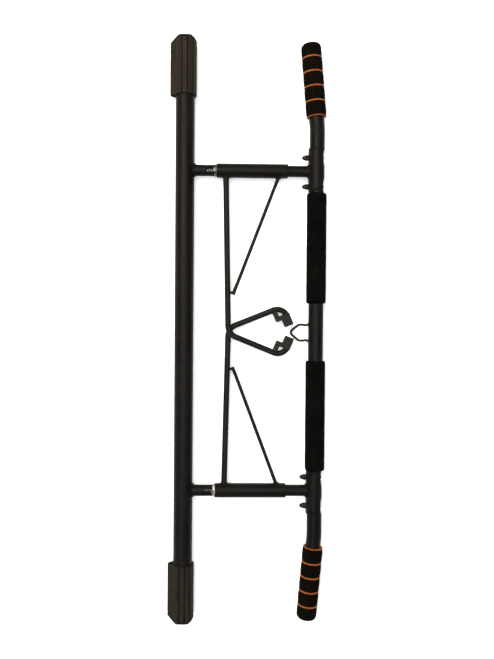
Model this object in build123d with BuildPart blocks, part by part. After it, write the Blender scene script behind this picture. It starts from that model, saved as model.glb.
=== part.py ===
from build123d import *
from math import acos, asin, cos, hypot, pi, radians, sin, sqrt
import os

# Doorway pull-up bar, folded flat. Millimetres. The rear bar carries the rubber feet, the front bar
# the foam. +X runs from the rear bar to the front bar, +Y to the left end and +Z up. The origin is
# on the floor under the middle of the bar, and the axes of both bars lie FOOT_R above it.

# ---- frame ----------------------------------------------------------------------------------
BAR_SPACING = 224.0          # rear bar axis to front bar axis
OVERALL_LENGTH = 992.0       # over the rubber feet
CROSS_Y = 271.5              # cross tubes, either side of the middle
TUBE_WALL = 1.5
REAR_R = 16.0
FRONT_R = 12.7
CROSS_R = 9.5

FRONT_SHIFT = -2.2           # the front bar is bolted on a little to the right of the middle
FRONT_BEND_Y = 347.0         # where its ends turn back, from its own middle
FRONT_BEND_ANGLE = 5.0
FRONT_BEND_R = 120.0
FRONT_END = 138.5            # end of the tube past the bend corner

# ---- rubber feet ----------------------------------------------------------------------------
FOOT_R = 19.3
FOOT_INNER_Y = 396.0
FOOT_END_WALL = 8.5
FOOT_END_ROUND = 9.6
FOOT_DOME_R = 28.0           # of the end, seen from above
FOOT_BORE_GAP = 0.05
NOSE_REACH = 25.3            # bearing edge of the foot, from the bar's axis
NOSE_TIP = 7.0
NOSE_CORNER = 12.0           # cut off the nose along the foot
NOSE_CUT_X = 15.5            # where the cut meets the dome
GROOVE_R = 1.3
GROOVE_AXIS_R = 19.5
GROOVE_COUNT = 10
GROOVE_SPAN = 270.0
POCKET_DEPTH = 12.0          # hollow in the nose: depth, then distance from the axis and half height
POCKET_OUTER = (23.7, 2.2)
POCKET_INNER = (17.4, 7.6)
POCKET_FLOOR_R = 17.2

# ---- foam, and the grips' rings ---------------------------------------------------------------
FOAM_R = 16.75
FOAM_BORE_R = FRONT_R + 0.05
FOAM_Y = (48.6, 235.8)
FOAM_SHIFT = -1.1
FOAM_EDGE = 3.0
GRIP_R = 17.0
GRIP_STOP = 142.5            # along the bent end, from the bend corner
GRIP_PLUG = 0.2              # gap between the tube's end and the grip's closed end
GRIP_END_ROUND = 6.5
RING_WIDTH = 2.8
RING_SEAT_R = 15.2
RING_R = 17.2
RING_FIRST = 19.8            # middle of the first ring, along the bent end
RING_PITCH = 24.5
RING_COUNT = 5
RING_ROUND = 0.4

# ---- saddles and fasteners ------------------------------------------------------------------
SADDLE_R = FRONT_R + 2.0
SADDLE_LENGTH = 73.0
SADDLE_CORNER = 6.0
SADDLE_OUT = 2.0             # its middle lies this far outside the cross tube's axis
BOLT_SHIFT = -1.4            # of every bolt along the bar
BOLT_OFFSET = 24.5
BOLT_R = 2.5
BOLT_HOLE_R = 2.7
HEAD_R = 4.75
HEAD_HEIGHT = 1.9
DIMPLE_DEPTH = 3.2
DIMPLE_R = 36.0
HEAD_SEAT = FRONT_R - 2.85
NUT_SEAT = SADDLE_R - 0.6
NUT_FLATS = 8.8
NUT_HEX_HEIGHT = 4.8
NUT_HEIGHT = 11.8
NUT_DOME_R = 4.4
NUT_HOLE_R = BOLT_R + 0.05
NUT_HOLE_DEPTH = 8.0
BOLT_ENGAGEMENT = 7.5        # length of shank inside the nut
SPOTFACE_R = 5.0

# ---- hang loop: half outline as distance from the bar's axis and from the loop's middle --------
LOOP_WIRE_R = 2.0
LOOP_ROOT = (9.7, 14.4)
LOOP_NECK = (17.7, 12.8)
LOOP_HIP = (21.7, 13.6)
LOOP_SHOULDER = (29.2, 13.6)
LOOP_REACH = 45.8            # corner of the tip
LOOP_BENDS = (6.0, 6.0, 9.0)
LOOP_TIP_R = 5.5
LOOP_DROOP = 15.0

# ---- hook lock on each cross tube, places along X from the rear bar's axis -------------------
SLOT = (35.5, 58.0)
SLOT_WIDTH = 6.4
SEAT = (20.0, 22.0)
PIN_X = 50.4
PIN_R = 3.0
PIN_LENGTH = 20.8
PIN_CHAMFER = 0.4
COLLAR_END = 54.1
COLLAR_R = 10.5
SLEEVE = (54.2, 174.1)
SLEEVE_R = 12.0
RUNNING_GAP = 0.07           # sleeve and collar on the cross tube
STUD_X = 176.5
STUD_R = 2.2
STUD_BASE = 7.4
STUD_TOP = 12.4
STUD_ROUND = 0.6
NOTCH_DEPTH = 2.5
NOTCH_WIDTH = 4.7
SPRING_WIRE_R = 0.8
SPRING_COIL_R = 6.2
SPRING_PITCH = 3.6
SPRING_GAP = 0.1

# ---- folding hooks: x from the rear bar's axis, r from the sleeve's axis ---------------------
HOOK_TILT = 1.2              # the left hook lies over the right one
ROD_R = 5.0
ROD_FOOT = (69.4, 2.0)
CORNER = (75.0, 276.3)
CORNER_R = 21.0
ARM_ANGLE = 22.0
ARM_LENGTH = 101.2
ARM_END_R = 18.0
ROD_TAIL = 24.0              # end of the rod inside the pad, from the arm's axis
BRACE_R = 3.0
BRACE_FOOT = (162.4, 0.0)
BRACE_TIP = (82.8, 210.0)
STUB_R = 2.4
STUB_OFFSET = (1.0, -3.5)    # from the brace's tip

# hook pad outline: u along the arm from the corner, v square to it, back toward the sleeve
PAD_WIDTH = 22.0
PAD_LOW = 80.0
PAD_SHIN = 87.6
PAD_STEP = 90.8
PAD_BACK = 105.8
PAD_ROOT = 3.0
PAD_SHELF = 13.2
PAD_MIDDLE = 21.3
PAD_TIP = 34.5
PAD_ROUND = 0.8
PAD_CHAMFER = 0.6
CORE_WIDTH = 16.0
CORE_THICKNESS = 3.0
CORE_COVER = 2.5             # rubber over the core
CORE_BACK_COVER = 6.0

x_rear = -(BAR_SPACING + FOAM_R - NOSE_REACH) / 2
x_front = x_rear + BAR_SPACING
z_axis = FOOT_R
half_length = OVERALL_LENGTH / 2
sides = {"left": 1, "right": -1}

os.makedirs("parts", exist_ok=True)


def save(piece, name):
    """Labels a finished piece and writes it."""
    piece.part.label = name
    export_step(piece.part, f"parts/{name}.step")


def along_y(x, y=0.0):
    """Plane square to the bars: local x is +X, local y is +Z and the normal is -Y."""
    return Plane(origin=(x, y, z_axis), x_dir=(1, 0, 0), z_dir=(0, -1, 0))


def along_x(x, y):
    """Plane square to a cross tube: local x is +Y, local y is +Z and the normal is +X."""
    return Plane(origin=(x_rear + x, y, z_axis), x_dir=(0, 1, 0), z_dir=(1, 0, 0))


def level(x, y):
    """Level plane through the bars' axes, x from the rear bar's axis."""
    return Plane(origin=(x_rear + x, y, z_axis), z_dir=(0, 0, 1))


def bent_end(side):
    """Plane in which a bent end of the front bar is turned: local x runs out along the end."""
    angle = radians(FRONT_BEND_ANGLE)
    run = Vector(-sin(angle), side * cos(angle), 0)
    corner = (x_front, FRONT_SHIFT + side * FRONT_BEND_Y, z_axis)
    return Plane(origin=corner, x_dir=run, z_dir=(0, 0, 1))


def hook_plane(side):
    """Plane of a folded hook: local x is +X from the rear bar, local y is r, toward the middle."""
    tilt = side * radians(HOOK_TILT)
    inward = Vector(0, -side * cos(tilt), sin(tilt))
    normal = Vector(1, 0, 0).cross(inward)
    return Plane(origin=(x_rear, side * CROSS_Y, z_axis), x_dir=(1, 0, 0), z_dir=normal)


def arm_plane(side):
    """Plane of a hook's pad: local x is u, along the arm, and local y is v, back to the sleeve."""
    hook = hook_plane(side)
    angle = radians(ARM_ANGLE)
    u = hook.x_dir * cos(angle) + hook.y_dir * sin(angle)
    v = hook.x_dir * sin(angle) - hook.y_dir * cos(angle)
    corner = hook.from_local_coords(Vector(CORNER[0], CORNER[1], 0))
    return Plane(origin=corner, x_dir=u, z_dir=u.cross(v))


# ---- the two bars ---------------------------------------------------------------------------
with BuildPart() as rear_bar:
    with BuildSketch(along_y(x_rear)):
        Circle(REAR_R)
        Circle(REAR_R - TUBE_WALL, mode=Mode.SUBTRACT)
    extrude(amount=half_length - FOOT_END_WALL, both=True)
save(rear_bar, "rear_bar")

front_corners = [bent_end(side).origin for side in sides.values()]
front_ends = [bent_end(side).from_local_coords(Vector(FRONT_END, 0, 0)) for side in sides.values()]
with BuildLine() as front_line:
    FilletPolyline(
        front_ends[1],
        front_corners[1],
        front_corners[0],
        front_ends[0],
        radius=FRONT_BEND_R,
    )
front_start = Plane(origin=front_line.line @ 0, z_dir=front_line.line % 0)
bolt_places = [
    (x_front, side * (CROSS_Y + step * BOLT_OFFSET) + BOLT_SHIFT, z_axis)
    for side in sides.values()
    for step in (-1, 1)
]
dimple_x = FRONT_R - DIMPLE_DEPTH + DIMPLE_R

with BuildPart() as front_hollow:
    with BuildSketch(front_start):
        Circle(FRONT_R - TUBE_WALL)
    sweep(path=front_line.line)
    for place in bolt_places:
        with Locations(Pos(*place) * Pos(dimple_x, 0, 0)):
            Cylinder(DIMPLE_R + TUBE_WALL, 4 * FRONT_R, mode=Mode.SUBTRACT)

with BuildPart() as front_bar:
    with BuildSketch(front_start):
        Circle(FRONT_R)
    sweep(path=front_line.line)
    for place in bolt_places:
        with Locations(Pos(*place) * Pos(dimple_x, 0, 0)):
            Cylinder(DIMPLE_R, 4 * FRONT_R, mode=Mode.SUBTRACT)
    add(front_hollow.part, mode=Mode.SUBTRACT)
    for place in bolt_places:
        with Locations(Pos(*place) * Rot(0, 90, 0)):
            Cylinder(BOLT_HOLE_R, 4 * FRONT_R, mode=Mode.SUBTRACT)
save(front_bar, "front_bar")

# ---- bolts and domed nuts through the saddles -----------------------------------------------
with BuildPart() as saddle_bolts:
    head_ball = (HEAD_R**2 + HEAD_HEIGHT**2) / (2 * HEAD_HEIGHT)
    shank_end = -NUT_SEAT - BOLT_ENGAGEMENT
    for place in bolt_places:
        with BuildSketch(Plane(origin=place, x_dir=(1, 0, 0), z_dir=(0, 0, 1))):
            with BuildLine():
                Polyline(
                    (HEAD_SEAT + HEAD_HEIGHT, 0),
                    (shank_end, 0),
                    (shank_end, BOLT_R),
                    (HEAD_SEAT, BOLT_R),
                    (HEAD_SEAT, HEAD_R),
                )
                RadiusArc((HEAD_SEAT, HEAD_R), (HEAD_SEAT + HEAD_HEIGHT, 0), head_ball)
            make_face()
        revolve(axis=Axis(place, (1, 0, 0)))
save(saddle_bolts, "saddle_bolts")

with BuildPart() as dome_nuts:
    for place in bolt_places:
        seat = Plane(origin=(place[0] - NUT_SEAT, place[1], place[2]), z_dir=(-1, 0, 0))
        with BuildSketch(seat):
            RegularPolygon(NUT_FLATS / 2, 6, major_radius=False)
        extrude(amount=NUT_HEX_HEIGHT)
        dome_height = NUT_HEIGHT - NUT_HEX_HEIGHT
        with BuildSketch(Plane(origin=place, x_dir=(-1, 0, 0), z_dir=(0, 0, 1))):
            with Locations((NUT_SEAT + NUT_HEX_HEIGHT, 0)):
                Ellipse(dome_height, NUT_DOME_R)
            with Locations((NUT_SEAT + NUT_HEX_HEIGHT + dome_height / 2, NUT_DOME_R / 2)):
                Rectangle(dome_height, NUT_DOME_R, mode=Mode.INTERSECT)
        revolve(axis=Axis(place, (1, 0, 0)))
        with BuildSketch(seat):
            Circle(NUT_HOLE_R)
        extrude(amount=NUT_HOLE_DEPTH, mode=Mode.SUBTRACT)
save(dome_nuts, "dome_nuts")

# ---- hang loop: one bent wire welded under the middle of the front bar ------------------------
droop = radians(LOOP_DROOP)
loop_out = Vector(-cos(droop), 0, -sin(droop))
loop_plane = Plane(
    origin=(x_front, FRONT_SHIFT, z_axis), x_dir=loop_out, z_dir=loop_out.cross(Vector(0, 1, 0))
)
loop_half = [LOOP_ROOT, LOOP_NECK, LOOP_HIP, LOOP_SHOULDER]
with BuildLine(loop_plane) as loop_line:
    FilletPolyline(
        *loop_half,
        (LOOP_REACH, 0),
        *[(reach, -half) for reach, half in reversed(loop_half)],
        radius=[*LOOP_BENDS, LOOP_TIP_R, *reversed(LOOP_BENDS)],
    )
with BuildPart() as hang_loop:
    with BuildSketch(Plane(origin=loop_line.line @ 0, z_dir=loop_line.line % 0)):
        Circle(LOOP_WIRE_R)
    sweep(path=loop_line.line)
    with BuildSketch(along_y(x_front, FRONT_SHIFT)):
        Circle(FRONT_R)
    extrude(amount=2 * LOOP_ROOT[1], both=True, mode=Mode.SUBTRACT)
save(hang_loop, "hang_loop")

for name, side in sides.items():
    y_tube = side * CROSS_Y

    # ---- rubber foot: round on the bar, with a nose that bears on the wall --------------------
    nose_radius = hypot(NOSE_REACH, NOSE_TIP / 2)
    tangent = pi - asin(NOSE_TIP / 2 / nose_radius) - acos(FOOT_R / nose_radius)
    flank = (FOOT_R * cos(tangent), FOOT_R * sin(tangent))
    foot_length = half_length - FOOT_INNER_Y
    inner_end = (x_rear, side * FOOT_INNER_Y, z_axis)
    foot_start = Plane(origin=inner_end, x_dir=(1, 0, 0), z_dir=(0, side, 0))
    foot_profile = Plane(origin=inner_end, x_dir=(0, side, 0), z_dir=(1, 0, 0))
    with BuildPart() as foot:
        with BuildSketch(foot_start):
            Circle(FOOT_R)
            Polygon(
                (-NOSE_REACH, NOSE_TIP / 2),
                flank,
                (flank[0], -flank[1]),
                (-NOSE_REACH, -NOSE_TIP / 2),
                align=None,
            )
        extrude(amount=foot_length)
        # the end, seen from above: domed, with the nose's corner cut straight
        dome_y = half_length - FOOT_DOME_R
        cut_y = side * (dome_y + sqrt(FOOT_DOME_R**2 - NOSE_CUT_X**2))
        dome_edge_y = side * (dome_y + sqrt(FOOT_DOME_R**2 - FOOT_R**2))
        with BuildSketch(level(0, 0)):
            with BuildLine():
                Polyline(
                    (FOOT_R, dome_edge_y),
                    (FOOT_R, side * FOOT_INNER_Y),
                    (-NOSE_REACH, side * FOOT_INNER_Y),
                    (-NOSE_REACH, side * (half_length - NOSE_CORNER)),
                    (-NOSE_CUT_X, cut_y),
                )
                ThreePointArc((-NOSE_CUT_X, cut_y), (0, side * half_length), (FOOT_R, dome_edge_y))
            make_face()
        extrude(amount=FOOT_R, both=True, mode=Mode.INTERSECT)
        # and seen from the side, both corners round
        with BuildSketch(foot_profile):
            with Locations((foot_length / 2, 0)):
                Rectangle(foot_length, 2 * FOOT_R)
            fillet(vertices().group_by(Axis.X)[-1], FOOT_END_ROUND)
        extrude(amount=NOSE_REACH, both=True, mode=Mode.INTERSECT)
        with BuildSketch(foot_start):
            with PolarLocations(
                GROOVE_AXIS_R, GROOVE_COUNT, GROOVE_SPAN / 2, -GROOVE_SPAN, endpoint=True
            ):
                Circle(GROOVE_R)
        extrude(amount=foot_length, mode=Mode.SUBTRACT)
        with BuildSketch(foot_start):
            Circle(REAR_R + FOOT_BORE_GAP)
        extrude(amount=foot_length - FOOT_END_WALL, mode=Mode.SUBTRACT)
        # hollow at the inner end of the nose
        with BuildSketch(foot_start):
            Polygon(
                (-POCKET_OUTER[0], POCKET_OUTER[1]),
                (-POCKET_INNER[0], POCKET_INNER[1]),
                (-POCKET_INNER[0], -POCKET_INNER[1]),
                (-POCKET_OUTER[0], -POCKET_OUTER[1]),
                align=None,
            )
            Circle(POCKET_FLOOR_R, mode=Mode.SUBTRACT)
        extrude(amount=POCKET_DEPTH, mode=Mode.SUBTRACT)
    save(foot, f"{name}_foot")

    # ---- cross tube: coped to the rear bar, slotted for the lock pin, bored for the stud ------
    with BuildPart() as cross_tube:
        with BuildSketch(along_x(0, y_tube)):
            Circle(CROSS_R)
            Circle(CROSS_R - TUBE_WALL, mode=Mode.SUBTRACT)
        extrude(amount=BAR_SPACING)
        with BuildSketch(along_y(x_rear, y_tube)):
            Circle(REAR_R)
        extrude(amount=2 * CROSS_R, both=True, mode=Mode.SUBTRACT)
        with BuildSketch(along_y(x_front, y_tube)):
            Circle(SADDLE_R)
        extrude(amount=2 * CROSS_R, both=True, mode=Mode.SUBTRACT)
        with BuildSketch(level(sum(SLOT) / 2, y_tube)):
            SlotOverall(SLOT[1] - SLOT[0], SLOT_WIDTH)
        extrude(amount=2 * CROSS_R, both=True, mode=Mode.SUBTRACT)
        with BuildSketch(level(STUD_X, y_tube)):
            Circle(STUD_R)
        extrude(amount=2 * CROSS_R, mode=Mode.SUBTRACT)
    save(cross_tube, f"{name}_cross_tube")

    # ---- saddle: a half shell behind the front bar, with round corners ------------------------
    with BuildPart() as saddle:
        y_saddle = y_tube + side * SADDLE_OUT
        with BuildSketch(along_y(x_front, y_saddle)):
            Circle(SADDLE_R)
            Circle(FRONT_R, mode=Mode.SUBTRACT)
            with Locations((SADDLE_R, 0)):
                Rectangle(2 * SADDLE_R, 2 * SADDLE_R, mode=Mode.SUBTRACT)
        extrude(amount=SADDLE_LENGTH / 2, both=True)
        with BuildSketch(Plane(origin=(x_front, y_saddle, z_axis), x_dir=(0, 1, 0), z_dir=(-1, 0, 0))):
            RectangleRounded(SADDLE_LENGTH, 2 * SADDLE_R, SADDLE_CORNER)
        extrude(amount=SADDLE_R, mode=Mode.INTERSECT)
        for step in (-1, 1):
            bolt_seat = (x_front - NUT_SEAT, y_tube + step * BOLT_OFFSET + BOLT_SHIFT, z_axis)
            with BuildSketch(Plane(origin=bolt_seat, z_dir=(-1, 0, 0))):
                Circle(SPOTFACE_R)
            extrude(amount=SADDLE_R, mode=Mode.SUBTRACT)
            with BuildSketch(Plane(origin=bolt_seat, z_dir=(-1, 0, 0))):
                Circle(BOLT_HOLE_R)
            extrude(amount=-SADDLE_R, mode=Mode.SUBTRACT)
    save(saddle, f"{name}_saddle")

    # ---- foam sleeve on the straight of the front bar ------------------------------------------
    with BuildPart() as foam_sleeve:
        with BuildSketch(along_y(x_front, FOAM_SHIFT + side * sum(FOAM_Y) / 2)):
            Circle(FOAM_R)
            Circle(FOAM_BORE_R, mode=Mode.SUBTRACT)
        extrude(amount=(FOAM_Y[1] - FOAM_Y[0]) / 2, both=True)
        rims = edges().filter_by(GeomType.CIRCLE).filter_by(lambda edge: edge.radius > FRONT_R + 1)
        fillet(rims, FOAM_EDGE)
    save(foam_sleeve, f"{name}_foam_sleeve")

    # ---- grip on the bent end, and the rings: a rim at its inner end, the others in grooves ----
    end = bent_end(side)
    ring_runs = [RING_FIRST + index * RING_PITCH for index in range(RING_COUNT)]
    grip_start = RING_FIRST + RING_WIDTH / 2
    tube_end = FRONT_END + GRIP_PLUG
    with BuildPart() as grip:
        with BuildSketch(end):
            with BuildLine():
                Polyline(
                    (GRIP_STOP - GRIP_END_ROUND, GRIP_R),
                    (grip_start, GRIP_R),
                    (grip_start, FOAM_BORE_R),
                    (tube_end, FOAM_BORE_R),
                    (tube_end, 0),
                    (GRIP_STOP, 0),
                    (GRIP_STOP, GRIP_R - GRIP_END_ROUND),
                )
                RadiusArc(
                    (GRIP_STOP, GRIP_R - GRIP_END_ROUND),
                    (GRIP_STOP - GRIP_END_ROUND, GRIP_R),
                    -GRIP_END_ROUND,
                )
            make_face()
            for run in ring_runs[1:]:
                with Locations((run, RING_SEAT_R + GRIP_R / 2)):
                    Rectangle(RING_WIDTH, GRIP_R, mode=Mode.SUBTRACT)
        revolve(axis=Axis(end.origin, end.x_dir))
    save(grip, f"{name}_grip")

    with BuildPart() as grip_rings:
        with BuildSketch(end):
            for run in ring_runs:
                inner = FOAM_BORE_R if run == RING_FIRST else RING_SEAT_R
                with Locations((run, (inner + RING_R) / 2)):
                    RectangleRounded(RING_WIDTH, RING_R - inner, RING_ROUND)
        revolve(axis=Axis(end.origin, end.x_dir))
    save(grip_rings, f"{name}_grip_rings")

    # ---- lock: stud, spring seat and spring in the tube, pin and collar that push the sleeve ---
    with BuildPart() as lock_stud:
        with BuildSketch(level(STUD_X, y_tube).offset(STUD_BASE)):
            Circle(STUD_R)
        extrude(amount=STUD_TOP - STUD_BASE)
        fillet(edges().sort_by(Axis.Z)[-1], STUD_ROUND)
    save(lock_stud, f"{name}_lock_stud")

    with BuildPart() as spring_seat:
        with BuildSketch(along_x(SEAT[0], y_tube)):
            Circle(CROSS_R - TUBE_WALL)
        extrude(amount=SEAT[1] - SEAT[0])
    save(spring_seat, f"{name}_spring_seat")

    spring_length = PIN_X - PIN_R - SPRING_GAP - SEAT[1] - 2 * SPRING_WIRE_R
    spring_start = (x_rear + SEAT[1] + SPRING_WIRE_R, y_tube, z_axis)
    with BuildLine() as spring_line:
        Helix(SPRING_PITCH, spring_length, SPRING_COIL_R, center=spring_start, direction=(1, 0, 0))
    with BuildPart() as lock_spring:
        with BuildSketch(Plane(origin=spring_line.line @ 0, z_dir=spring_line.line % 0)):
            Circle(SPRING_WIRE_R)
        sweep(path=spring_line.line, is_frenet=True)
    save(lock_spring, f"{name}_lock_spring")

    with BuildPart() as lock_pin:
        with BuildSketch(level(PIN_X, y_tube)):
            Circle(PIN_R)
        extrude(amount=PIN_LENGTH / 2, both=True)
        chamfer(edges().filter_by(GeomType.CIRCLE), PIN_CHAMFER)
    save(lock_pin, f"{name}_lock_pin")

    with BuildPart() as thrust_collar:
        with BuildSketch(along_x(PIN_X, y_tube)):
            Circle(COLLAR_R)
            Circle(CROSS_R + RUNNING_GAP, mode=Mode.SUBTRACT)
        extrude(amount=COLLAR_END - PIN_X)
        with BuildSketch(level(PIN_X, y_tube)):
            Circle(PIN_R)
        extrude(amount=PIN_LENGTH, both=True, mode=Mode.SUBTRACT)
    save(thrust_collar, f"{name}_thrust_collar")

    # ---- turning sleeve, notched for the stud folded and opened --------------------------------
    with BuildPart() as hook_sleeve:
        with BuildSketch(along_x(SLEEVE[0], y_tube)):
            Circle(SLEEVE_R)
            Circle(CROSS_R + RUNNING_GAP, mode=Mode.SUBTRACT)
        extrude(amount=SLEEVE[1] - SLEEVE[0])
        opened = 90 - side * HOOK_TILT
        sleeve_end = (x_rear + SLEEVE[1], y_tube, z_axis)
        for turn in (0, side * opened):
            radial = Vector(0, 0, 1).rotate(Axis.X, turn)
            with BuildSketch(Plane(origin=sleeve_end, x_dir=(1, 0, 0), z_dir=radial)):
                SlotOverall(2 * NOTCH_DEPTH, NOTCH_WIDTH)
            extrude(amount=2 * SLEEVE_R, mode=Mode.SUBTRACT)
    save(hook_sleeve, f"{name}_hook_sleeve")

    # ---- hook rod: straight run, arm and rounded end ------------------------------------------
    hook = hook_plane(side)
    arm = radians(ARM_ANGLE)
    arm_end = (CORNER[0] + ARM_LENGTH * cos(arm), CORNER[1] + ARM_LENGTH * sin(arm))
    tail = (arm_end[0] + ROD_TAIL * sin(arm), arm_end[1] - ROD_TAIL * cos(arm))
    with BuildLine(hook) as rod_line:
        FilletPolyline(ROD_FOOT, CORNER, arm_end, tail, radius=[CORNER_R, ARM_END_R])
    with BuildPart() as hook_rod:
        with BuildSketch(Plane(origin=rod_line.line @ 0, z_dir=rod_line.line % 0)):
            Circle(ROD_R)
        sweep(path=rod_line.line)
        with BuildSketch(along_x(SLEEVE[0], y_tube)):
            Circle(SLEEVE_R)
        extrude(amount=SLEEVE[1] - SLEEVE[0], mode=Mode.SUBTRACT)
    save(hook_rod, f"{name}_hook_rod")

    # ---- brace: from the sleeve up to just short of the rod, with its weld stub ---------------
    brace_foot = hook.from_local_coords(Vector(*BRACE_FOOT, 0))
    brace_tip = hook.from_local_coords(Vector(*BRACE_TIP, 0))
    stub_place = (BRACE_TIP[0] + STUB_OFFSET[0], BRACE_TIP[1] + STUB_OFFSET[1])
    stub_end = hook.from_local_coords(Vector(*stub_place, 0))
    with BuildPart() as hook_brace:
        with BuildSketch(Plane(origin=brace_foot, z_dir=brace_tip - brace_foot)):
            Circle(BRACE_R)
        extrude(amount=(brace_tip - brace_foot).length)
        with BuildSketch(Plane(origin=stub_end, z_dir=(-1, 0, 0))):
            Circle(STUB_R)
        extrude(amount=2 * ROD_R)
        with BuildSketch(along_x(SLEEVE[0], y_tube)):
            Circle(SLEEVE_R)
        extrude(amount=SLEEVE[1] - SLEEVE[0], mode=Mode.SUBTRACT)
        add(hook_rod.part, mode=Mode.SUBTRACT)
    save(hook_brace, f"{name}_hook_brace")

    # ---- steel core of the pad, welded to the arm and to the rod's end -------------------------
    pad_face = arm_plane(side)
    shin = PAD_LOW + CORE_COVER
    shelf = PAD_SHELF + CORE_COVER
    back = PAD_STEP + CORE_BACK_COVER
    with BuildPart() as pad_core:
        with BuildSketch(pad_face):
            with BuildLine():
                Polyline(
                    (shin, PAD_ROOT),
                    (shin, shelf + CORE_THICKNESS),
                    (back, shelf + CORE_THICKNESS),
                    (back, PAD_TIP - CORE_COVER),
                    (back + CORE_THICKNESS, PAD_TIP - CORE_COVER),
                    (back + CORE_THICKNESS, shelf),
                    (shin + CORE_THICKNESS, shelf),
                    (shin + CORE_THICKNESS, PAD_ROOT),
                    close=True,
                )
            make_face()
        extrude(amount=CORE_WIDTH / 2, both=True)
        add(hook_rod.part, mode=Mode.SUBTRACT)
    save(pad_core, f"{name}_pad_core")

    # ---- stepped rubber pad ---------------------------------------------------------------------
    with BuildPart() as hook_pad:
        with BuildSketch(pad_face):
            with BuildLine():
                Polyline(
                    (PAD_LOW, PAD_ROOT),
                    (PAD_LOW, PAD_MIDDLE),
                    (PAD_STEP, PAD_MIDDLE),
                    (PAD_STEP, PAD_TIP),
                    (PAD_BACK, PAD_TIP),
                    (PAD_BACK, PAD_SHELF),
                    (PAD_SHIN, PAD_SHELF),
                    (PAD_SHIN, PAD_ROOT),
                    close=True,
                )
            make_face()
            fillet(vertices(), PAD_ROUND)
        extrude(amount=PAD_WIDTH / 2, both=True)
        chamfer(faces().filter_by(pad_face).edges(), PAD_CHAMFER)
        add(pad_core.part, mode=Mode.SUBTRACT)
        add(hook_rod.part, mode=Mode.SUBTRACT)
    save(hook_pad, f"{name}_hook_pad")
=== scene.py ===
import math

import bmesh
import bpy
from mathutils import Matrix, Vector, noise


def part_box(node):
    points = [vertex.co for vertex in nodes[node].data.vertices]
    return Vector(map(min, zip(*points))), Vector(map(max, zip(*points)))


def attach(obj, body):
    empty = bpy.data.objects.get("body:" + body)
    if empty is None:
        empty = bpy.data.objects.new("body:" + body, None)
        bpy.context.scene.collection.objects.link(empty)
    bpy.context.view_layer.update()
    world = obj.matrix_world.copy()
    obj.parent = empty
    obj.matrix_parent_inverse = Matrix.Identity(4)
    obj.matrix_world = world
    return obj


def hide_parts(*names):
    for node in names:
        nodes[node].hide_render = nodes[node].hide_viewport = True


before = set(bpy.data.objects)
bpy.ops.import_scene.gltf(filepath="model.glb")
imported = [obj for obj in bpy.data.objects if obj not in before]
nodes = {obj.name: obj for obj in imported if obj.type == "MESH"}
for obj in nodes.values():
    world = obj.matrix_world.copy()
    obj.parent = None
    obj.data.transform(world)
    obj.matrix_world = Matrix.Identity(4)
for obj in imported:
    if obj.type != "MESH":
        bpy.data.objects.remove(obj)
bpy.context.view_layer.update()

MM = 0.001
SIDES = {"left": 1, "right": -1}

# ---- places of the frame, read from the CAD nodes ---------------------------------------------


def middle(node):
    low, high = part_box(node)
    return (Vector(low) + Vector(high)) / 2


REAR_AXIS = middle("rear_bar")
FLOOR_TO_AXIS = REAR_AXIS.z
REAR_R = (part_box("rear_bar")[1][0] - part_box("rear_bar")[0][0]) / 2
FRONT_X = middle("left_foam_sleeve").x
FRONT_R = 12.7 * MM
FRONT_SHIFT = -2.2 * MM
SADDLE_R = 14.7 * MM
CROSS_R = 9.5 * MM
SLEEVE_R = 12.0 * MM
CROSS_Y = {name: middle(f"{name}_cross_tube").y for name in SIDES}


# ---- finishes -----------------------------------------------------------------------------------


def finish(name, roughness, specular, metallic=0.0):
    """A material with one shader; returns it with the tools that add to its nodes."""
    material = bpy.data.materials.new(name)
    material.use_nodes = True
    tree = material.node_tree
    shader = tree.nodes["Principled BSDF"]
    shader.inputs["Roughness"].default_value = roughness
    shader.inputs["Specular IOR Level"].default_value = specular
    shader.inputs["Metallic"].default_value = metallic
    return material, tree, shader


def place_on_piece(tree, stretch=(1, 1, 1)):
    """Object coordinates, stretched."""
    coords = tree.nodes.new("ShaderNodeTexCoord")
    mapping = tree.nodes.new("ShaderNodeMapping")
    mapping.inputs["Scale"].default_value = stretch
    tree.links.new(coords.outputs["Object"], mapping.inputs["Vector"])
    return mapping.outputs["Vector"]


def grain(tree, where, per_metre, detail=3.0, rough=0.55):
    """Noise with features of about 1 / per_metre."""
    node = tree.nodes.new("ShaderNodeTexNoise")
    node.inputs["Scale"].default_value = per_metre
    node.inputs["Detail"].default_value = detail
    node.inputs["Roughness"].default_value = rough
    tree.links.new(where, node.inputs["Vector"])
    return node.outputs["Fac"]


def cells(tree, where, per_metre):
    """Rounded cells, dark in their middles."""
    node = tree.nodes.new("ShaderNodeTexVoronoi")
    node.feature = "SMOOTH_F1"
    node.inputs["Scale"].default_value = per_metre
    node.inputs["Smoothness"].default_value = 0.4
    tree.links.new(where, node.inputs["Vector"])
    return node.outputs["Distance"]


def ramp(tree, value, stops):
    """Colours or greys along a value: stops are (position, colour)."""
    node = tree.nodes.new("ShaderNodeValToRGB")
    elements = node.color_ramp.elements
    while len(elements) < len(stops):
        elements.new(0.5)
    for element, (position, colour) in zip(elements, stops):
        element.position = position
        element.color = (*colour, 1) if isinstance(colour, tuple) else (colour, colour, colour, 1)
    tree.links.new(value, node.inputs["Fac"])
    return node.outputs["Color"]


def layer(tree, amount, under, over, kind="MIX"):
    """over laid on under by amount, which is an output or a number."""
    node = tree.nodes.new("ShaderNodeMix")
    node.data_type = "RGBA"
    node.blend_type = kind
    for socket, value in ((node.inputs[0], amount), (node.inputs[6], under), (node.inputs[7], over)):
        if isinstance(value, bpy.types.NodeSocket):
            tree.links.new(value, socket)
        elif isinstance(value, tuple):
            socket.default_value = (*value, 1)
        else:
            socket.default_value = value
    return node.outputs[2]


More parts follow.
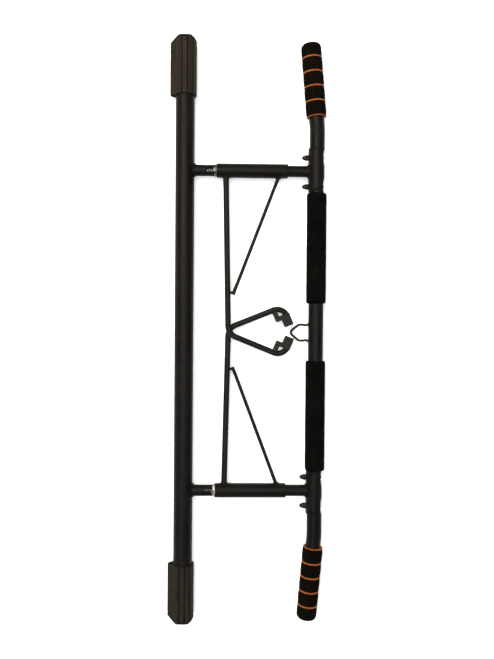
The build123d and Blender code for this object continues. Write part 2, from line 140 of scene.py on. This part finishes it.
def relief(tree, shader, *heights):
    """Bumps, coarse first: each is (height, strength, depth in metres)."""
    normal = None
    for height, strength, depth in heights:
        node = tree.nodes.new("ShaderNodeBump")
        node.inputs["Strength"].default_value = strength
        node.inputs["Distance"].default_value = depth
        tree.links.new(height, node.inputs["Height"])
        if normal:
            tree.links.new(normal, node.inputs["Normal"])
        normal = node.outputs["Normal"]
    tree.links.new(normal, shader.inputs["Normal"])


def powder_coat(name, dark, light, along):
    """Satin black powder coat: orange peel, cloudy gloss, hairline scuffs along the tube, dust."""
    material, tree, shader = finish(name, 0.5, 0.075)
    where = place_on_piece(tree)
    clouds = grain(tree, where, 45, 4)
    peel = grain(tree, where, 650, 2, 0.5)
    fleck = grain(tree, where, 2600, 1, 0.5)
    stretch = tuple(60 if axis == along else 1600 for axis in "XYZ")
    hair = grain(tree, place_on_piece(tree, stretch), 1, 2, 0.6)
    scuff = ramp(tree, hair, [(0.63, 0.0), (0.72, 1.0)])
    patch = ramp(tree, grain(tree, where, 22, 3), [(0.5, 0.0), (0.68, 0.5)])
    worn = layer(tree, 1.0, scuff, patch, "MULTIPLY")
    colour = ramp(tree, clouds, [(0.3, dark), (0.7, light)])
    colour = layer(tree, worn, colour, tuple(3.2 * c for c in light))
    dust = ramp(tree, fleck, [(0.7, 0.0), (0.78, 0.35)])
    colour = layer(tree, dust, colour, tuple(4.0 * c for c in light))
    tree.links.new(colour, shader.inputs["Base Color"])
    gloss = ramp(tree, clouds, [(0.3, 0.42), (0.75, 0.58)])
    tree.links.new(gloss, shader.inputs["Roughness"])
    relief(tree, shader, (peel, 0.35, 0.00012), (fleck, 0.12, 0.00004))
    return material


def foam_skin(name, dark, light):
    """Closed-cell foam: open pores, a dry bloom and faint scuffing."""
    material, tree, shader = finish(name, 0.95, 0.02)
    where = place_on_piece(tree)
    pores = cells(tree, where, 1500)
    crumbs = grain(tree, where, 2400, 3, 0.7)
    bloom = grain(tree, where, 38, 4, 0.6)
    lengthways = place_on_piece(tree, (240, 40, 240))
    rub = ramp(tree, grain(tree, lengthways, 1, 3, 0.65), [(0.56, 0.0), (0.8, 1.0)])
    colour = ramp(tree, bloom, [(0.3, dark), (0.72, light)])
    colour = layer(tree, rub, colour, tuple(1.7 * c for c in light))
    pit = ramp(tree, pores, [(0.1, 0.35), (0.55, 1.0)])
    colour = layer(tree, 0.75, colour, pit, "MULTIPLY")
    tree.links.new(colour, shader.inputs["Base Color"])
    relief(tree, shader, (bloom, 0.3, 0.0006), (pores, 0.6, 0.00025), (crumbs, 0.4, 0.00012))
    return material


def moulded_rubber(name, dark, light, along="Y", shaded_grooves=False):
    """Black rubber from a mould: brushed streaks, a chalky bloom and fine grit; with shaded_grooves, painted
    shade in the foot's grooves and a painted highlight on the skin beside them.
    """
    material, tree, shader = finish(name, 0.62, 0.07)
    where = place_on_piece(tree)
    stretch = tuple(18 if axis == along else 420 for axis in "XYZ")
    streak = grain(tree, place_on_piece(tree, stretch), 1, 3, 0.6)
    bloom = grain(tree, where, 60, 5, 0.65)
    grit = grain(tree, where, 1800, 2, 0.6)
    colour = ramp(tree, bloom, [(0.28, dark), (0.72, light)])
    chalk = ramp(tree, streak, [(0.48, 0.0), (0.74, 0.8)])
    colour = layer(tree, chalk, colour, tuple(1.6 * c for c in light))
    flecks = ramp(tree, grit, [(0.66, 0.0), (0.76, 0.4)])
    colour = layer(tree, flecks, colour, tuple(2.4 * c for c in light))
    if shaded_grooves:
        # painted shade: the groove attribute darkens the grooves, and its shallowest part lightens the skin
        # beside them as a painted highlight
        depth = tree.nodes.new("ShaderNodeAttribute")
        depth.attribute_name = "groove"
        shade = ramp(tree, depth.outputs["Fac"], [(0.0, 1.0), (0.12, 1.25), (0.3, 0.75), (0.7, 0.2)])
        colour = layer(tree, 1.0, colour, shade, "MULTIPLY")
    tree.links.new(colour, shader.inputs["Base Color"])
    tree.links.new(ramp(tree, bloom, [(0.3, 0.52), (0.75, 0.72)]), shader.inputs["Roughness"])
    relief(tree, shader, (streak, 0.3, 0.0002), (grit, 0.4, 0.0001))
    return material


def ring_rubber(name):
    """Orange foam rubber of the rings: grubby, with paler rubbed patches."""
    material, tree, shader = finish(name, 0.7, 0.1)
    where = place_on_piece(tree)
    grime = grain(tree, where, 180, 5, 0.65)
    pores = grain(tree, where, 2400, 3, 0.7)
    grubby, orange, rubbed = (0.11, 0.028, 0.006), (0.26, 0.072, 0.014), (0.36, 0.11, 0.026)
    colour = ramp(tree, grime, [(0.28, grubby), (0.5, orange), (0.75, rubbed)])
    colour = layer(tree, ramp(tree, pores, [(0.3, 0.5), (0.48, 0.0)]), colour, (0.1, 0.028, 0.008))
    tree.links.new(colour, shader.inputs["Base Color"])
    relief(tree, shader, (grime, 0.3, 0.0002), (pores, 0.5, 0.00012))
    return material


def collar_nylon(name, lit_share):
    """Natural nylon, mottled light where the nylon shows and dark grey elsewhere, with dark rub streaks
    where it runs on the tube; lit_share is how much light nylon shows, a painted-light setting: low gives a
    shaded copy, high a lit copy whose light patches are partly painted highlight.
    """
    material, tree, shader = finish(name, 0.45, 0.3)
    where = place_on_piece(tree)
    mottle = grain(tree, where, 150, 4, 0.6)
    wear = grain(tree, place_on_piece(tree, (2600, 160, 160)), 1, 3, 0.6)
    # painted light: a lower lit_share darkens the nylon as painted shade, a higher one brightens it as
    # painted highlight
    edge = 0.72 - 0.35 * lit_share
    colour = ramp(
        tree, mottle,
        [(edge - 0.14, (0.02, 0.018, 0.015)), (edge, (0.055, 0.05, 0.042)), (edge + 0.1, (0.5, 0.46, 0.37))],
    )
    colour = layer(tree, ramp(tree, wear, [(0.45, 0.0), (0.7, 0.4)]), colour, (0.04, 0.036, 0.03))
    tree.links.new(colour, shader.inputs["Base Color"])
    tree.links.new(ramp(tree, mottle, [(0.3, 0.35), (0.7, 0.6)]), shader.inputs["Roughness"])
    relief(tree, shader, (wear, 0.3, 0.0001))
    return material


def zinc_plate(name):
    """Zinc plate gone dull, with turning marks and dark spots."""
    material, tree, shader = finish(name, 0.38, 0.5, metallic=1.0)
    where = place_on_piece(tree)
    spots = grain(tree, where, 420, 4, 0.6)
    marks = grain(tree, place_on_piece(tree, (1200, 1200, 90)), 1, 2, 0.5)
    colour = ramp(tree, spots, [(0.32, (0.03, 0.028, 0.026)), (0.66, (0.14, 0.138, 0.135))])
    colour = layer(tree, ramp(tree, marks, [(0.4, 0.0), (0.7, 0.35)]), colour, (0.07, 0.068, 0.065))
    tree.links.new(colour, shader.inputs["Base Color"])
    tree.links.new(ramp(tree, spots, [(0.3, 0.55), (0.7, 0.3)]), shader.inputs["Roughness"])
    relief(tree, shader, (marks, 0.25, 0.00005))
    return material


def black_bolt(name):
    """Black oxide on bolts and nuts, worn to steel in specks."""
    material, tree, shader = finish(name, 0.42, 0.16)
    where = place_on_piece(tree)
    oxide = grain(tree, where, 380, 4, 0.6)
    specks = ramp(tree, grain(tree, where, 1500, 2, 0.6), [(0.66, 0.0), (0.74, 0.6)])
    colour = ramp(tree, oxide, [(0.3, (0.004, 0.0035, 0.0035)), (0.7, (0.01, 0.009, 0.0085))])
    colour = layer(tree, specks, colour, (0.12, 0.11, 0.1))
    tree.links.new(colour, shader.inputs["Base Color"])
    tree.links.new(ramp(tree, oxide, [(0.3, 0.32), (0.7, 0.55)]), shader.inputs["Roughness"])
    relief(tree, shader, (oxide, 0.25, 0.0001))
    return material


bar_coat = powder_coat("bar_powder_coat", (0.0026, 0.0021, 0.0017), (0.0056, 0.0048, 0.0041), "Y")
tube_coat = powder_coat("tube_powder_coat", (0.0022, 0.0018, 0.0015), (0.0046, 0.004, 0.0034), "X")
hook_coat = powder_coat("hook_powder_coat", (0.005, 0.0042, 0.0037), (0.009, 0.008, 0.0073), "Y")
sleeve_foam = foam_skin("sleeve_foam", (0.0014, 0.0013, 0.0011), (0.0036, 0.0033, 0.0028))
grip_foam = foam_skin("grip_foam", (0.0022, 0.0015, 0.0009), (0.0048, 0.0033, 0.002))
foot_rubber = moulded_rubber("foot_rubber", (0.0075, 0.0058, 0.0038), (0.0165, 0.0133, 0.0092), "Y", True)
pad_rubber = moulded_rubber("pad_rubber", (0.008, 0.0072, 0.0065), (0.0155, 0.0142, 0.013), "Z")
ring_orange = ring_rubber("ring_orange")
# painted light: one nylon in two copies, the left collar darkened as painted shade and the right one lit,
# its light patches partly painted highlight
collars = {"left": collar_nylon("collar_shaded", 0.35), "right": collar_nylon("collar_lit", 0.85)}
zinc = zinc_plate("lock_zinc")
fastener = black_bolt("fastener_black")

COATS = {
    "rear_bar": bar_coat,
    "front_bar": bar_coat,
    "saddle_bolts": fastener,
    "dome_nuts": fastener,
    "hang_loop": hook_coat,
}
SIDE_COATS = {
    "cross_tube": tube_coat,
    "saddle": bar_coat,
    "lock_stud": tube_coat,
    "spring_seat": zinc,
    "lock_spring": zinc,
    "lock_pin": zinc,
    "hook_sleeve": tube_coat,
    "hook_rod": hook_coat,
    "hook_brace": hook_coat,
    "pad_core": hook_coat,
}
for name in SIDES:
    COATS.update({f"{name}_{piece}": coat for piece, coat in SIDE_COATS.items()})
    COATS[f"{name}_thrust_collar"] = collars[name]
for node, coat in COATS.items():
    for material_slot in nodes[node].material_slots:
        material_slot.material = coat


# ---- making pieces ----------------------------------------------------------------------------


def finished(name, shape, body, coat):
    """A bmesh made into an object that rides on a body."""
    bmesh.ops.recalc_face_normals(shape, faces=shape.faces)
    mesh = bpy.data.meshes.new(name)
    shape.to_mesh(mesh)
    shape.free()
    for face in mesh.polygons:
        face.use_smooth = True
    piece = bpy.data.objects.new(name, mesh)
    bpy.context.scene.collection.objects.link(piece)
    mesh.materials.append(coat)
    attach(piece, body)
    return piece


def soften(piece):
    """One level of subdivision."""
    subdivision = piece.modifiers.new("soft", "SUBSURF")
    subdivision.levels = 1
    subdivision.render_levels = 1


def turned(profile, origin, run, steps):
    """Spins a profile of (distance along run, radius) about run. A closed profile makes a sleeve."""
    shape = bmesh.new()
    across = run.cross(Vector((0, 0, 1))).normalized()
    line = [shape.verts.new(origin + run * along + across * radius) for along, radius in profile]
    if profile[0] != profile[-1]:
        edges = [shape.edges.new(pair) for pair in zip(line, line[1:])]
    else:
        shape.verts.remove(line.pop())
        edges = [shape.edges.new(pair) for pair in zip(line, line[1:] + line[:1])]
    bmesh.ops.spin(
        shape, geom=line + edges, cent=origin, axis=run, dvec=(0, 0, 0), angle=2 * math.pi,
        steps=steps, use_merge=True, use_duplicate=False,
    )
    bmesh.ops.remove_doubles(shape, verts=shape.verts, dist=1e-6)
    return shape


def lofted(rings):
    """A skin through rings of points, each closed on itself; a ring of one point closes an end."""
    across, count = len(rings[0]), len(rings) - 1
    shape = bmesh.new()
    bmesh.ops.create_grid(shape, x_segments=across, y_segments=count, size=1.0)
    for vert in shape.verts:
        step = round((vert.co.x + 1) / 2 * across) % across
        vert.co = rings[round((vert.co.y + 1) / 2 * count)][step]
    bmesh.ops.remove_doubles(shape, verts=shape.verts, dist=1e-6)
    return shape


def uneven(shape, centre_line, run, depth, size, seed):
    """Moves the skin in and out a little, away from a centre line."""
    for vert in shape.verts:
        away = vert.co - centre_line
        away -= run * away.dot(run)
        if away.length > FRONT_R + 1.5 * MM:
            swell = noise.noise(vert.co / size + Vector((seed, 0, 0)))
            vert.co += away.normalized() * depth * swell


# ---- foam ---------------------------------------------------------------------------------------


def foam_profile(length, radius, bore):
    """Outline of a foam sleeve: rims rolled over, the body straight."""
    edge = 3.6 * MM
    rim = [
        (edge * (1 - math.cos(turn)), radius - edge * (1 - math.sin(turn)))
        for turn in (math.radians(a) for a in range(0, 90, 15))
    ]
    count = 34
    body = [(edge + (length - 2 * edge) * i / count, radius) for i in range(count + 1)]
    far_rim = [(length - along, out) for along, out in reversed(rim)]
    start = (0.6 * MM, bore)
    return [start, (0.1 * MM, bore + 0.9 * MM), *rim, *body, *far_rim,
            (length - 0.1 * MM, bore + 0.9 * MM), (length - 0.6 * MM, bore),
            *[(length * k / 6, bore) for k in (5, 4, 3, 2, 1)], start]


for name, side in SIDES.items():
    low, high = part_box(f"{name}_foam_sleeve")
    radius = (high[0] - low[0]) / 2
    start = Vector((FRONT_X, low[1], FLOOR_TO_AXIS))
    run = Vector((0, 1, 0))
    shape = turned(foam_profile(high[1] - low[1], radius, FRONT_R + 0.05 * MM), start, run, 64)
    uneven(shape, start, run, 0.35 * MM, 22 * MM, 3.0 * side)
    foam = finished(f"{name}_foam", shape, "frame", sleeve_foam)
    soften(foam)
    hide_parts(f"{name}_foam_sleeve")

# ---- grips: foam stretches that swell between the rings -------------------------------------
# distances along a grip are from the bend of the front bar
BEND_ANGLE = math.radians(5.0)
BEND_Y = 347.0 * MM
RING_FIRST = 19.8 * MM
RING_PITCH = 24.5 * MM
RING_HALF = 1.4 * MM
GRIP_STOP = 142.5 * MM
GRIP_END = 138.7 * MM
GRIP_R = 17.1 * MM
TUCK_R = 15.6 * MM
TUCK_LENGTH = 2.2 * MM
BORE_CLEARANCE = 0.05 * MM


def stretch_profile(start, stop):
    """One stretch of foam between two rings, tucked in at both."""
    points = []
    for i in range(13):
        t = i / 12
        tuck = min(t, 1 - t) * (stop - start) / TUCK_LENGTH
        edge = 1 - (1 - min(1.0, tuck)) ** 2
        crown = math.sin(math.pi * t)
        points.append((start + (stop - start) * t, TUCK_R + 1.2 * MM * edge + 0.5 * MM * crown))
    return points


def grip_profile():
    """Outline of a grip from its open end, over the stretches and the rounded nose, to its axis."""
    rings = [RING_FIRST + RING_PITCH * i for i in range(5)]
    seat = 15.15 * MM
    first = rings[0] + 0.3 * MM
    points = [(first, FRONT_R + BORE_CLEARANCE), (first, 15.4 * MM)]
    for here, after in zip(rings, rings[1:]):
        points += stretch_profile(first if here == rings[0] else here + RING_HALF, after - RING_HALF)
        points += [(after - RING_HALF + 0.05 * MM, seat), (after + RING_HALF - 0.05 * MM, seat)]
    last = rings[-1] + RING_HALF
    nose = 7.5 * MM
    points += [(last, TUCK_R), (last + 0.8 * MM, 16.5 * MM), (last + 2.4 * MM, 16.95 * MM)]
    points += [(last + 6 * MM, GRIP_R), (last + 10 * MM, GRIP_R)]
    points += [(GRIP_STOP - nose - 1 * MM, GRIP_R - 0.05 * MM)]
    for degrees in range(15, 91, 15):
        turn = math.radians(degrees)
        points.append((GRIP_STOP - nose + nose * math.sin(turn), GRIP_R - nose * (1 - math.cos(turn))))
    end = GRIP_STOP + 0.35 * MM
    points += [(GRIP_STOP + 0.25 * MM, 6 * MM), (end, 2.5 * MM), (end, 0)]
    return points


for name, side in SIDES.items():
    run = Vector((-math.sin(BEND_ANGLE), side * math.cos(BEND_ANGLE), 0))
    corner = Vector((FRONT_X, FRONT_SHIFT + side * BEND_Y, FLOOR_TO_AXIS))
    profile = grip_profile()
    profile += [(GRIP_END, 0), (GRIP_END, FRONT_R + BORE_CLEARANCE)]
    shape = turned(profile + [profile[0]], corner, run, 72)
    bmesh.ops.remove_doubles(shape, verts=shape.verts, dist=2e-5)
    uneven(shape, corner, run, 0.18 * MM, 12 * MM, 7.0 * side)
    grip = finished(f"{name}_grip_foam", shape, "frame", grip_foam)
    soften(grip)
    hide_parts(f"{name}_grip")

    # rings: soft round bands, the first only a lip on the rim
    for index in range(5):
        along = RING_FIRST + RING_PITCH * index
        half, low_r, high_r = RING_HALF * 0.94, 15.1 * MM, 17.2 * MM
        if index == 0:
            along, half, low_r, high_r = RING_FIRST - 0.5 * MM, 0.8 * MM, FRONT_R + 0.06 * MM, 16.7 * MM
        band = []
        for degrees in range(0, 360, 18):
            turn = math.radians(degrees)
            square = max(abs(math.cos(turn)), abs(math.sin(turn))) ** -0.55
            band.append((
                along + half * math.cos(turn) * min(square, 1.0),
                (low_r + high_r) / 2 + (high_r - low_r) / 2 * math.sin(turn) * min(square, 1.0),
            ))
        ring_shape = turned(band + [band[0]], corner, run, 96)
        uneven(ring_shape, corner, run, 0.1 * MM, 7 * MM, 11.0 * side + index)
        ring = finished(f"{name}_ring_{index}", ring_shape, "frame", ring_orange)
        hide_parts(f"{name}_grip_rings")


# ---- rubber feet: grooved round the bar, with a nose and a domed end --------------------------
FOOT_R = 19.3 * MM
NOSE_REACH = 25.3 * MM
NOSE_TIP = 3.5 * MM
FOOT_INNER = 396 * MM
BORE_R = 16.05 * MM
END_WALL = 8.5 * MM
DOME_R = 28.0 * MM
NOSE_CUT = (15.5 * MM, 25.3 * MM, 12.0 * MM)
SIDE_ROUND = 9.6 * MM
GROOVES = [math.radians(a) for a in range(-135, 136, 30)]
GROOVE_DEPTH = 1.5 * MM


def foot_outline():
    """Points of the foot's section, from the bar's axis."""
    reach = math.hypot(NOSE_REACH, NOSE_TIP)
    tangent = math.pi - math.asin(NOSE_TIP / reach) - math.acos(FOOT_R / reach)
    points = []
    count = 216
    for i in range(count + 1):
        turn = -tangent + 2 * tangent * i / count
        radius = FOOT_R
        for groove in GROOVES:
            off = FOOT_R * (turn - groove)
            radius -= GROOVE_DEPTH * math.exp(-((off / (1.0 * MM)) ** 2))
            radius += 0.3 * MM * math.exp(-(((abs(off) - 2.1 * MM) / (0.7 * MM)) ** 2))
        points.append((min(radius, FOOT_R) * math.cos(turn), min(radius, FOOT_R) * math.sin(turn)))
    flank = points[-1]
    tip = (-NOSE_REACH, NOSE_TIP)
    for i in range(1, 12):
        points.append(tuple(a + (b - a) * i / 12 for a, b in zip(flank, tip)))
    points += [(-NOSE_REACH, NOSE_TIP * (1 - i / 4)) for i in range(9)]
    for i in range(1, 12):
        points.append(tuple(b + (a - b) * i / 12 for a, b in zip(points[0], (-NOSE_REACH, -NOSE_TIP))))
    return points


def end_drop(x, z):
    """How far the end lies short of the foot's length, at a place of its section."""
    start, stop, cut = NOSE_CUT
    dome = DOME_R - math.sqrt(DOME_R**2 - (x if x > -start else start) ** 2)
    if x < -start:
        dome += (cut - dome) * (-start - x) / (stop - start)
    over = max(abs(z) - (FOOT_R - SIDE_ROUND), 0.0)
    edge = SIDE_ROUND - math.sqrt(max(SIDE_ROUND**2 - over**2, 0.0))
    return (dome**4 + edge**4) ** 0.25


def in_pocket(x, z):
    """1 inside the hollow at the nose's inner end, 0 outside."""
    inner, outer = 17.4 * MM, 23.7 * MM
    if not inner < -x < outer or math.hypot(x, z) < 17.2 * MM:
        return 0.0
    half = 7.6 * MM + (2.2 - 7.6) * MM * (-x - inner) / (outer - inner)
    return 1.0 if abs(z) < half else 0.0


def foot_rings(side, length):
    """Rings over the whole skin: the bore from its floor outwards, the inner end, the side, the dome."""
    outline = foot_outline()
    soft = 1.1 * MM

    def at(x, along, z):
        return Vector((REAR_AXIS.x + x, side * along, FLOOR_TO_AXIS + z))

    def scaled(k):
        return [(x * k, z * k) for x, z in outline]

    bore = [
        (BORE_R * math.cos(math.atan2(z, x)), BORE_R * math.sin(math.atan2(z, x))) for x, z in outline
    ]
    rings = [[at(0, length - END_WALL, 0)] * len(outline)]
    rings.append([at(x, length - END_WALL, z) for x, z in bore])
    bore_depth = length - END_WALL - FOOT_INNER
    rings += [[at(x, FOOT_INNER + bore_depth * k, z) for x, z in bore] for k in (0.6, 0.3, 0.1)]
    for k in range(0, 15):
        t = k / 14
        ring = []
        for (bx, bz), (ox, oz) in zip(bore, scaled(1 - 0.4 * soft / FOOT_R)):
            x, z = bx + (ox - bx) * t, bz + (oz - bz) * t
            ring.append(at(x, FOOT_INNER + 0.2 * soft + 12 * MM * in_pocket(x, z), z))
        rings.append(ring)
    rings.append([at(x, FOOT_INNER + 0.7 * soft, z) for x, z in outline])
    stations = 46
    for i in range(1, stations + 1):
        t = i / stations
        lip = 1 - 0.022 * math.exp(-(((t - 0.955) / 0.012) ** 2))
        ring = []
        for x, z in scaled(lip):
            start, stop = FOOT_INNER + 0.7 * soft, length - end_drop(x, z) - soft
            ring.append(at(x, start + (stop - start) * t, z))
        rings.append(ring)
    for k, short in ((0.99, 0.55), (0.965, 0.18), (0.93, 0.03)):
        rings.append([at(x, length - end_drop(x, z) - short * soft, z) for x, z in scaled(k)])
    for k in (0.86, 0.76, 0.64, 0.5, 0.36, 0.22, 0.1):
        rings.append([at(x, length - end_drop(x, z), z) for x, z in scaled(k)])
    rings.append([at(0, length, 0)] * len(outline))
    return rings


for name, side in SIDES.items():
    shape = lofted(foot_rings(side, abs(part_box(f"{name}_foot")[1 if side > 0 else 0][1])))
    # painted shade: how far each point is sunk into a groove, read by the foot's material to darken the
    # grooves and lighten the skin beside them
    groove = shape.verts.layers.float.new("groove")
    for vert in shape.verts:
        away = Vector((vert.co.x - REAR_AXIS.x, 0, vert.co.z - FLOOR_TO_AXIS))
        sunk = (FOOT_R - away.length) / GROOVE_DEPTH
        vert[groove] = min(max(sunk, 0.0), 1.0) if away.x > -14 * MM and 0 < sunk < 1.3 else 0.0
        if away.length > 17.5 * MM:
            swell = noise.noise(Vector((vert.co.x * 90, vert.co.y * 22, vert.co.z * 90)))
            vert.co -= away.normalized() * 0.14 * MM * (1 + swell)
    foot = finished(f"{name}_foot_rubber", shape, "frame", foot_rubber)
    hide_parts(f"{name}_foot")

# ---- pads: the stepped block with its edges rounded ------------------------------------------


PAD_VOXEL = 0.5 * MM
PAD_SMOOTHING = 3


def moulded(name, node, body, coat):
    """The CAD shape as one soft-edged skin."""
    shape = bmesh.new()
    shape.from_mesh(nodes[node].data)
    bmesh.ops.remove_doubles(shape, verts=shape.verts, dist=1e-6)
    rough = bpy.data.meshes.new(name + "_rough")
    shape.to_mesh(rough)
    shape.free()
    blank = bpy.data.objects.new(name + "_blank", rough)
    bpy.context.scene.collection.objects.link(blank)
    remesh = blank.modifiers.new("skin", "REMESH")
    remesh.mode = "VOXEL"
    remesh.voxel_size = PAD_VOXEL
    rounded = blank.modifiers.new("round", "SMOOTH")
    rounded.factor = 0.5
    rounded.iterations = PAD_SMOOTHING
    depsgraph = bpy.context.evaluated_depsgraph_get()
    skin = bpy.data.meshes.new_from_object(blank.evaluated_get(depsgraph))
    bpy.data.objects.remove(blank)
    bpy.data.meshes.remove(rough)
    shape = bmesh.new()
    shape.from_mesh(skin)
    bpy.data.meshes.remove(skin)
    piece = finished(name, shape, body, coat)
    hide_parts(node)


for name in SIDES:
    moulded(f"{name}_pad_rubber", f"{name}_hook_pad", f"{name}_hook", pad_rubber)


# ---- weld beads -------------------------------------------------------------------------------


def weld_bead(name, body, start, run, branch_r, main_point, main_run, main_r, size, coat):
    """A rippled bead where a round branch meets a round main; start is on the branch's axis."""
    run, main_run = run.normalized(), main_run.normalized()
    side_a = run.orthogonal().normalized()
    side_b = run.cross(side_a)
    rings = []
    count, section = 150, 12
    for j in range(section + 1):
        bulge = 2 * math.pi * j / section
        ring = []
        for i in range(count):
            turn = 2 * math.pi * i / count
            out = side_a * math.cos(turn) + side_b * math.sin(turn)
            gap = start + out * branch_r - main_point
            gap -= main_run * gap.dot(main_run)
            step = run - main_run * run.dot(main_run)
            a, b, c = step.dot(step), 2 * gap.dot(step), gap.dot(gap) - main_r**2
            root = math.sqrt(max(b * b - 4 * a * c, 0.0))
            seam = start + out * branch_r + run * ((-b + root) / (2 * a))
            up = seam - main_point
            up = (up - main_run * up.dot(main_run)).normalized()
            ripple = 1 + 0.07 * math.sin(turn * 2 * math.pi * branch_r / (1.5 * MM))
            ripple += 0.14 * noise.noise(seam * 260)
            ring.append(seam + (out * math.cos(bulge) + up * math.sin(bulge)) * size * ripple)
        rings.append(ring)
    return finished(name, lofted(rings), body, coat)


ALONG = Vector((1, 0, 0))
LENGTHWAYS = Vector((0, 1, 0))
REAR_LINE = Vector((REAR_AXIS.x, 0, FLOOR_TO_AXIS))
FRONT_LINE = Vector((FRONT_X, 0, FLOOR_TO_AXIS))
HOOK_TILT = math.radians(1.2)
# places along the cross tube are from the rear bar's axis; a run is (along the tube, away from it)
ROD_R = 5.0 * MM
ROD_FOOT, ROD_FOOT_OUT = 69.4 * MM, 2.0 * MM
ROD_RUN = (5.6, 274.3)
BRACE_R = 3.0 * MM
BRACE_FOOT = 162.4 * MM
BRACE_RUN = (-79.6, 210.0)
LOOP_R = 2.0 * MM
LOOP_FOOT_SPREAD, LOOP_FOOT_OUT = 14.4 * MM, 9.7 * MM
LOOP_DROOP = math.radians(15)
LOOP_RUN = (8, 1.6)

for name, side in SIDES.items():
    tube = Vector((0, CROSS_Y[name], FLOOR_TO_AXIS))
    weld_bead(
        f"{name}_rear_weld", "frame", tube + ALONG * REAR_LINE.x, ALONG, CROSS_R,
        REAR_LINE, LENGTHWAYS, REAR_R, 2.3 * MM, tube_coat,
    )
    weld_bead(
        f"{name}_saddle_weld", "frame", tube + ALONG * FRONT_X, -ALONG, CROSS_R,
        FRONT_LINE, LENGTHWAYS, SADDLE_R, 2.1 * MM, tube_coat,
    )
    # the hook's rod and brace on its sleeve, in the plane of the hook
    reach = Vector((0, -side * math.cos(HOOK_TILT), side * math.sin(HOOK_TILT)))
    root = tube + ALONG * REAR_LINE.x
    rod_foot = root + ALONG * ROD_FOOT + reach * ROD_FOOT_OUT
    rod_run = ALONG * ROD_RUN[0] + reach * ROD_RUN[1]
    brace_foot = root + ALONG * BRACE_FOOT
    brace_run = ALONG * BRACE_RUN[0] + reach * BRACE_RUN[1]
    weld_bead(
        f"{name}_rod_weld", f"{name}_hook", rod_foot, rod_run, ROD_R,
        tube, ALONG, SLEEVE_R, 1.5 * MM, hook_coat,
    )
    weld_bead(
        f"{name}_brace_weld", f"{name}_hook", brace_foot, brace_run, BRACE_R,
        tube, ALONG, SLEEVE_R, 1.8 * MM, hook_coat,
    )
    # the loop's foot on the front bar
    loop_out = Vector((-math.cos(LOOP_DROOP), 0, -math.sin(LOOP_DROOP)))
    loop_foot = FRONT_LINE + LENGTHWAYS * (FRONT_SHIFT + side * LOOP_FOOT_SPREAD)
    loop_foot += loop_out * LOOP_FOOT_OUT
    loop_run = loop_out * LOOP_RUN[0] - LENGTHWAYS * side * LOOP_RUN[1]
    weld_bead(
        f"{name}_loop_weld", "frame", loop_foot, loop_run, LOOP_R,
        FRONT_LINE, LENGTHWAYS, FRONT_R, 1.0 * MM, hook_coat,
    )

# ---- floor, light and camera ---------------------------------------------------------------
shape = bmesh.new()
bmesh.ops.create_grid(shape, x_segments=1, y_segments=1, size=6.0)
floor_mesh = bpy.data.meshes.new("floor")
shape.to_mesh(floor_mesh)
shape.free()
floor = bpy.data.objects.new("floor", floor_mesh)
bpy.context.scene.collection.objects.link(floor)
pale, tree, shader = finish("pale_floor", 0.95, 0.0)
shader.inputs["Base Color"].default_value = (0.86, 0.86, 0.86, 1)
shader.inputs["Emission Color"].default_value = (1, 1, 1, 1)
shader.inputs["Emission Strength"].default_value = 0.4
floor_mesh.materials.append(pale)

world = bpy.data.worlds.new("studio")
world.use_nodes = True
world.node_tree.nodes["Background"].inputs["Color"].default_value = (1, 1, 1, 1)
world.node_tree.nodes["Background"].inputs["Strength"].default_value = 0.18
bpy.context.scene.world = world


def soft_light(name, place, size, power, colour):
    """A rectangular lamp that faces the middle of the bar."""
    lamp = bpy.data.lights.new(name, "AREA")
    lamp.shape = "RECTANGLE"
    lamp.size, lamp.size_y = size
    lamp.energy = power
    lamp.color = colour
    holder = bpy.data.objects.new(name, lamp)
    holder.location = place
    holder.rotation_euler = (-Vector(place)).to_track_quat("-Z", "Y").to_euler()
    bpy.context.scene.collection.objects.link(holder)


soft_light("key", (-0.55, 0.75, 1.7), (0.9, 1.0), 50, (1.0, 0.92, 0.8))
soft_light("sky", (-0.6, -0.75, 1.6), (0.45, 1.0), 12, (0.6, 0.78, 1.0))
soft_light("overhead", (0.35, 0.0, 2.4), (1.3, 2.0), 31, (1.0, 0.98, 0.95))

lens = bpy.data.cameras.new("camera")
lens.lens = 34.53
lens.sensor_width = 36.0
lens.shift_x = 0.0065
lens.shift_y = -0.0157
camera = bpy.data.objects.new("camera", lens)
CAMERA_OVER_BAR = (-0.008, 0.0203, 1.0748)
lean = (
    Matrix.Rotation(math.radians(-0.412), 4, "Z")
    @ Matrix.Rotation(math.radians(0.714), 4, "X")
    @ Matrix.Rotation(math.radians(1.251), 4, "Y")
)
camera.matrix_world = (
    Matrix.Translation((0, 0, FLOOR_TO_AXIS))
    @ lean.transposed()
    @ Matrix.Translation(CAMERA_OVER_BAR)
)
bpy.context.scene.collection.objects.link(camera)
bpy.context.scene.camera = camera
bpy.context.scene.view_settings.view_transform = "Standard"
